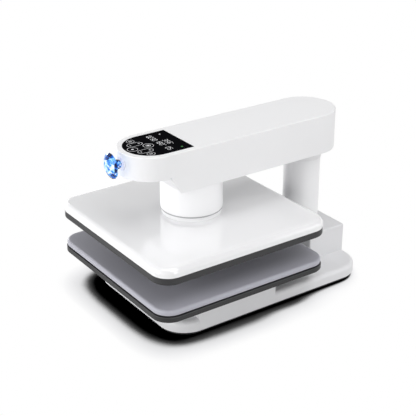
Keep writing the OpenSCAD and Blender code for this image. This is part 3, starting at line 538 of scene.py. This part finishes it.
# Painted reflection: the share read here picks each face's colour from navy to white, and the cells add
# painted glints.
facet = crystal.node("ShaderNodeAttribute", {"attribute_name": "facet"}, None, "Fac")
painted_glint_cells = crystal.node("ShaderNodeTexVoronoi", {"feature": "F1", "distance": "MANHATTAN"},
                     {"Vector": crystal.place, "Scale": 150.0}, "Color")
painted_glint = crystal.node("ShaderNodeSeparateColor", None, {0: painted_glint_cells}, "Red")
painted_reflection = facet + 0.42 * (painted_glint - 0.5)
crystal.paint(Base_Color=crystal.ramp(painted_reflection, (0.22, (0.001, 0.003, 0.016)), (0.36, (0.004, 0.025, 0.17)),
                                      (0.5, (0.01, 0.14, 0.68)), (0.64, (0.06, 0.36, 0.9)),
                                      (0.76, (0.42, 0.78, 0.95)), (0.9, (0.85, 0.92, 1.0))),
              Roughness=0.04 + 0.03 * painted_glint, Specular_IOR_Level=0.3)
knob_low, knob_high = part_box("crystal_knob")
knob_middle = (knob_low + knob_high) / 2 / MM
knob_front = knob_low.y / MM
knob_back = knob_high.y / MM
knob_r = (knob_high.x - knob_low.x) / 2 / MM


def cut_stone(*rings):
    """The convex stone over rings of points round the knob's axis. Its flat faces are the facets.

    A ring is its count of points, its radius as a share of the knob's, its place as a share of the
    knob's length, and its turn in degrees.
    """
    bm = bmesh.new()
    for count, radius, along, turn in rings:
        y = knob_front + (knob_back - knob_front) * along
        ring = bmesh.ops.create_circle(bm, segments=count, radius=knob_r * radius * MM)["verts"]
        bmesh.ops.rotate(bm, matrix=Matrix.Rotation(math.radians(turn), 3, "Z"), verts=ring)
        bmesh.ops.rotate(bm, matrix=Matrix.Rotation(math.radians(90), 3, "X"), verts=ring)
        bmesh.ops.translate(bm, vec=(0, y * MM, knob_middle.z * MM), verts=ring)
    bmesh.ops.delete(bm, geom=bm.edges[:], context="EDGES_FACES")
    bmesh.ops.convex_hull(bm, input=bm.verts[:])
    bmesh.ops.dissolve_limit(bm, angle_limit=math.radians(1), verts=bm.verts[:], edges=bm.edges[:])
    return bm


half_step = 360 / 8 / 2
stone = cut_stone((8, 0.54, 0.0, 0), (8, 0.82, 0.12, half_step), (16, 0.985, 0.25, half_step / 2),
                  (16, 0.985, 0.3, half_step / 2), (8, 0.66, 0.46, 0), (8, 0.3, 0.62, half_step))
ball = cut_stone((8, 0.27, 0.6, half_step), (8, 0.34, 0.7, 0), (8, 0.365, 0.8, half_step),
                 (8, 0.34, 0.9, 0), (8, 0.26, 1.0, half_step))
ball_mesh = bpy.data.meshes.new("ball")
ball.to_mesh(ball_mesh)
ball.free()
stone.from_mesh(ball_mesh)
bpy.data.meshes.remove(ball_mesh)
facets = stone.faces.layers.float.new("facet")
bmesh.ops.recalc_face_normals(stone, faces=stone.faces)
# Painted reflection: faces that look up or down are painted darker, the others paler, with a random
# scatter.
for i, face in enumerate(sorted(stone.faces, key=lambda f: tuple(f.calc_center_median()))):
    face.normal_update()
    scatter = (math.sin((i + 1) * 12.9898) * 43758.5453) % 1  # 0 to 1, the same in each run
    face[facets] = 0.62 - 0.4 * abs(face.normal.z) ** 1.5 + 0.55 * (scatter - 0.5)
cut = finished(stone, "crystal_knob_cut", "arm", crystal, ["crystal_knob"], crease=2)
cut.visible_shadow = False  # light goes through the crystal


# Upper cover
# The cover is pressed steel under glossy white enamel with a clear coat, whose flow is just seen in its
# reflections. It closes the upper platen from above.
enamel = Finish("cover enamel")
flow = enamel.noise(45, 2)
cloud = enamel.noise(4, 2)
enamel.paint(Base_Color=enamel.between((0.82, 0.82, 0.83), (0.85, 0.85, 0.86), cloud),
             Roughness=0.12 + 0.04 * cloud, Normal=enamel.bumped(flow, 0.02, 0.1),
             Specular_IOR_Level=0.9, Coat_Weight=1.0, Coat_Roughness=0.02)
cad(enamel, "upper_cover")


# Heat-proof band and heating plate
# A dark coated band runs round under the cover. The cast aluminium heating plate in it has a grey
# non-stick coat on its face.
cad(coated_metal("band coat", (0.026, 0.026, 0.0275), 0.5), "seal_band")
cad(coated_metal("non-stick coat", (0.07, 0.07, 0.075), 0.3), "heater_plate")


# Steel parts inside
# Turned, milled and folded steel, left bare: deck and frame of the base, post and hinge, screws and
# bolts, the lift's screw, rods and tower, and the cases of motor, gearbox and supply.
def bare_metal(name, colour, rough):
    finish = Finish(name)
    marks = finish.noise(120, 3, (1, 1, 30))
    cloud = finish.noise(12, 3)
    return finish.paint(Base_Color=finish.between(tint(colour, 0.8), colour, cloud), Metallic=1.0,
                        Roughness=rough + 0.15 * (marks - 0.5), Normal=finish.bumped(marks, 0.02, 0.3))


cad(bare_metal("bare steel", (0.56, 0.57, 0.59), 0.32),
    "base_plate", "pedestal_frame", "tray_screws", "column_post", "post_bolts", "thrust_bearing",
    "stop_collar", "pivot_nut", "belly_screws", "stop_pin", "knob_stud", "screw_bearing",
    "lead_screw", "nut_tower", "guide_rods", "heat_sensor", "power_supply", "drive_motor",
    "pivot_hub", "plate_bolts", "motor_gearbox")


# Bronze and brass parts
# The hinge's and the rods' bushes, the lift nut and the motor's pinion are turned bronze. The inlet's
# pins are brass.
cad(bare_metal("bronze", (0.55, 0.36, 0.16), 0.35),
    "pivot_bushes", "guide_bushes", "drive_nut", "drive_pinion", "inlet_pins")


# Arm frame and press plate
# Folded steel channel and flat steel plate under a blue-grey primer. The frame carries the hinge and the
# motor, and the plate carries all of the upper platen.
cad(powder_coat("primed steel", (0.16, 0.19, 0.23), 0.5), "arm_frame", "press_plate")


# Heating element and insulation board
# The element is a bent steel tube, tinted by heat. Pale pressed fibre board lies over it, under the
# press plate.
cad(bare_metal("tinted tube", (0.3, 0.24, 0.2), 0.4), "heating_element")
cad(moulded_rubber("fibre board", (0.5, 0.46, 0.38)), "insulation_board")


# Screw gear
# A cream gear moulded in nylon with 54 teeth. It is keyed to the lift screw, and the motor's pinion
# turns it.
cad(moulded_white("gear nylon", (0.7, 0.66, 0.55), 0.45), "screw_gear")


# Circuit boards
# Glass-fibre boards under green solder resist. One is in the pedestal, and one lies under the control
# panel's glass.
cad(powder_coat("circuit board", (0.01, 0.09, 0.035), 0.4), "power_board", "display_board")


# Studio
# A white floor that keeps a close dark shadow round the base, a white room that is greyer overhead, and
# broad lamps above, in front and at the sides.
floor_bm = bmesh.new()
bmesh.ops.create_grid(floor_bm, x_segments=1, y_segments=1, size=6)
floor_mesh = bpy.data.meshes.new("floor")
floor_bm.to_mesh(floor_mesh)
floor_bm.free()
floor = bpy.data.objects.new("floor", floor_mesh)
bpy.context.scene.collection.objects.link(floor)


def shown(recipe):
    """1 for the rays that show a thing, in the camera, in gloss or through glass, and 0 for the light."""
    rays = [recipe.node("ShaderNodeLightPath", out=name)
            for name in ("Is Camera Ray", "Is Glossy Ray", "Is Transmission Ray")]
    return rays[0] | rays[1] | rays[2]


shadow_reach = 0.09
paper = Finish("floor paper")
lean = paper.node("ShaderNodeCombineXYZ", None, {0: 0.16, 1: 0.58, 2: 0.8})
openness = paper.node("ShaderNodeAmbientOcclusion", {"samples": 64},
                      {"Distance": shadow_reach, "Normal": lean}, "AO")
shade = paper.ramp(openness, (0.5, (0.0, 0.0, 0.0)), (0.6, (0.07, 0.07, 0.07)),
                   (0.7, (0.74, 0.74, 0.75)), (0.83, (0.88, 0.88, 0.89)), (0.96, (1, 1, 1)))
lit = paper.node("ShaderNodeEmission", None, {"Color": shade, "Strength": 1.0})
matt = paper.node("ShaderNodeBsdfDiffuse", None, {"Color": (0.7, 0.7, 0.7)})
mixed = paper.node("ShaderNodeMixShader", None, {0: shown(paper), 1: matt, 2: lit})
paper.feed(paper.tree.nodes["Material Output"].inputs["Surface"], mixed)
floor_mesh.materials.append(paper.material)

room_light = 0.36
ceiling = (0.4, 0.4, 0.4)
world = bpy.data.worlds.new("white room")
world.use_nodes = True
bpy.context.scene.world = world
room = Recipe(world.node_tree)
above = room.node("ShaderNodeSeparateXYZ", None, {0: room.node("ShaderNodeTexCoord", out="Generated")}, "Z")
walls = room.ramp(above, (0.2, (1, 1, 1)), (0.36, ceiling))
background = world.node_tree.nodes["Background"]
room.feed(background.inputs["Color"], (1, 1, 1))
room.feed(background.inputs["Strength"], room_light + shown(room) * (walls - room_light))


def lamp(name, place, aim, size, watts):
    """Hangs a round area lamp that faces a point."""
    light = bpy.data.lights.new(name, "AREA")
    light.shape = "DISK"
    light.size = size
    light.energy = watts
    lamp_object = bpy.data.objects.new(name, light)
    lamp_object.location = place
    lamp_object.rotation_euler = (Vector(aim) - Vector(place)).to_track_quat("-Z", "Y").to_euler()
    bpy.context.scene.collection.objects.link(lamp_object)


lamp("overhead", (0, 0.1, 2.2), (0, 0, 0.2), 1.4, 12)
lamp("high right", (1.2, 0.1, 1.9), (0, 0, 0.2), 1.2, 12)
lamp("low right", (2.2, 0.1, 0.6), (0, 0, 0.25), 1.0, 9)
lamp("rear right", (1.5, 1.6, 0.9), (0, 0, 0.25), 1.0, 4)
lamp("front", (-0.4, -2.1, 0.5), (0, 0, 0.2), 1.8, 36)
lamp("left", (-2.2, -0.3, 0.7), (0, 0, 0.25), 1.0, 14)

camera = bpy.data.cameras.new("camera")
camera.lens = 90.55
camera.sensor_width = 36
camera_object = bpy.data.objects.new("camera", camera)
camera_object.location = (1.60066, -1.15929, 1.09019)
aim = Vector((0, -0.03712, 0.17716))
camera_object.rotation_euler = (aim - camera_object.location).to_track_quat("-Z", "Y").to_euler()
bpy.context.scene.collection.objects.link(camera_object)
bpy.context.scene.camera = camera_object
bpy.context.scene.view_settings.view_transform = "Standard"
